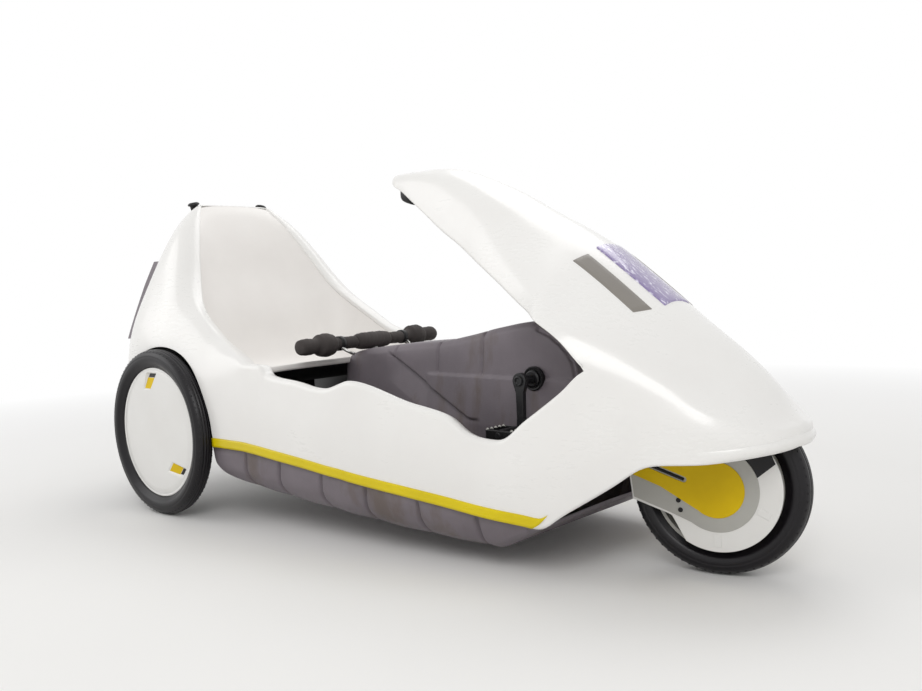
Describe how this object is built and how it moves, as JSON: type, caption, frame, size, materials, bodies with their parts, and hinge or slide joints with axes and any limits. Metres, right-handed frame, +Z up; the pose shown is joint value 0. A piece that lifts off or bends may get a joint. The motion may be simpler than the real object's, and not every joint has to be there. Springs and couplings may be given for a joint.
{
  "type": "electric recumbent pedal tricycle",
  "caption": "Enclosed single-seat electric pedal tricycle with a reclined bucket seat, wedge nose, roof pod, grey centre hump, side stripe and covered wheels.",
  "frame": {"origin": "on the ground under the middle of the whole length and width", "axes": "+X forward, +Y left, +Z up"},
  "size_m": [1.7425, 0.7442, 0.795],
  "materials": {
    "white_shell": "gloss",
    "grey_shell": "satin",
    "seat_grey": "satin",
    "yellow_stripe": "gloss",
    "yellow_panel": "gloss",
    "tyre_black": "matte",
    "light_plastic": "satin",
    "rim_grey": "satin",
    "black_steel": "semi-gloss",
    "steel": "brushed",
    "foam_brown": "matte",
    "black_plastic": "satin",
    "lens_clear": "gloss",
    "lamp_grey": "satin"
  },
  "bodies": {
    "body": {"frame": "black_steel", "rear_axle": "steel", "motor_block": "black_plastic", "battery_block": "black_plastic", "floor_tray": "grey_shell", "belly_pan": "grey_shell", "centre_hump": "grey_shell", "belt_stripe_left": "yellow_stripe", "belt_stripe_right": "yellow_stripe", "nose_cowl": "white_shell", "roof_pod": "white_shell", "nose_bumper": "white_shell", "headlamp_lens": "lens_clear", "lamp_surround": "lamp_grey", "instrument_pod": "black_plastic", "sill_left": "white_shell", "sill_right": "white_shell", "tail_shell": "white_shell", "seat_bucket": "seat_grey", "wheel_liner_left": "black_plastic", "wheel_liner_right": "black_plastic", "bay_floor": "black_steel", "mast_socket_left": "black_plastic", "mast_socket_right": "black_plastic", "bottom_bracket": "steel", "lid_hinge_left": "black_plastic", "lid_hinge_right": "black_plastic"},
    "fork": {"fork_crown": "black_steel", "fork_cheek_left": "light_plastic", "fork_cheek_right": "light_plastic", "fork_panel_left": "yellow_panel", "fork_panel_right": "yellow_panel", "front_axle": "steel"},
    "front_wheel": {"front_tyre": "tyre_black", "front_rim": "rim_grey"},
    "bars": {"handlebar": "steel", "bar_post": "steel", "bar_pad": "foam_brown", "grip_left": "foam_brown", "grip_right": "foam_brown", "brake_lever_left": "black_plastic", "brake_lever_right": "black_plastic"},
    "wheel_left": {"rear_tyre_left": "tyre_black", "rear_rim_left": "rim_grey", "hubcap_left": "light_plastic", "hubcap_insert_left": "yellow_stripe"},
    "wheel_right": {"rear_tyre_right": "tyre_black", "rear_rim_right": "rim_grey", "hubcap_right": "light_plastic", "hubcap_insert_right": "yellow_stripe"},
    "cranks": {"crankset": "black_steel"},
    "foot_left": {"pedal_left": "black_plastic"},
    "foot_right": {"pedal_right": "black_plastic"},
    "lid": {"luggage_lid": "grey_shell"}
  },
  "joints": [
    {"name": "steering", "type": "hinge", "parent": "body", "child": "fork", "pos_m": [0.697, 0, 0.15881], "axis": [-0.2588, 0, 0.9659], "range_deg": [-37, 13]},
    {"name": "front_wheel_spin", "type": "hinge", "parent": "fork", "child": "front_wheel", "pos_m": [0.697, 0, 0.15881], "axis": [-0.2008, 0.9781, -0.0538], "continuous": true},
    {"name": "handlebar_turn", "type": "hinge", "parent": "body", "child": "bars", "pos_m": [-0.20885, 0, 0.4], "axis": [0, 0, 1], "range_deg": [-22.5, 8.1]},
    {"name": "rear_wheel_left_spin", "type": "hinge", "parent": "body", "child": "wheel_left", "pos_m": [-0.607, 0.3495, 0.203], "axis": [0, 1, 0], "continuous": true},
    {"name": "rear_wheel_right_spin", "type": "hinge", "parent": "body", "child": "wheel_right", "pos_m": [-0.607, -0.3495, 0.203], "axis": [0, 1, 0], "continuous": true},
    {"name": "crank_spin", "type": "hinge", "parent": "body", "child": "cranks", "pos_m": [0.35185, 0, 0.34582], "axis": [0, 1, 0], "continuous": true},
    {"name": "pedal_left_spin", "type": "hinge", "parent": "cranks", "child": "foot_left", "pos_m": [0.35185, 0.176, 0.44183], "axis": [0, 1, 0], "continuous": true},
    {"name": "pedal_right_spin", "type": "hinge", "parent": "cranks", "child": "foot_right", "pos_m": [0.35185, -0.176, 0.24982], "axis": [0, 1, 0], "continuous": true},
    {"name": "luggage_lid_hinge", "type": "hinge", "parent": "body", "child": "lid", "pos_m": [-0.85964, 0, 0.41432], "axis": [0, -1, 0], "range_deg": [0, 75]}
  ],
  "couplings": [
    {"joint": "handlebar_turn", "follows": "steering", "ratio": 0.6}
  ]
}
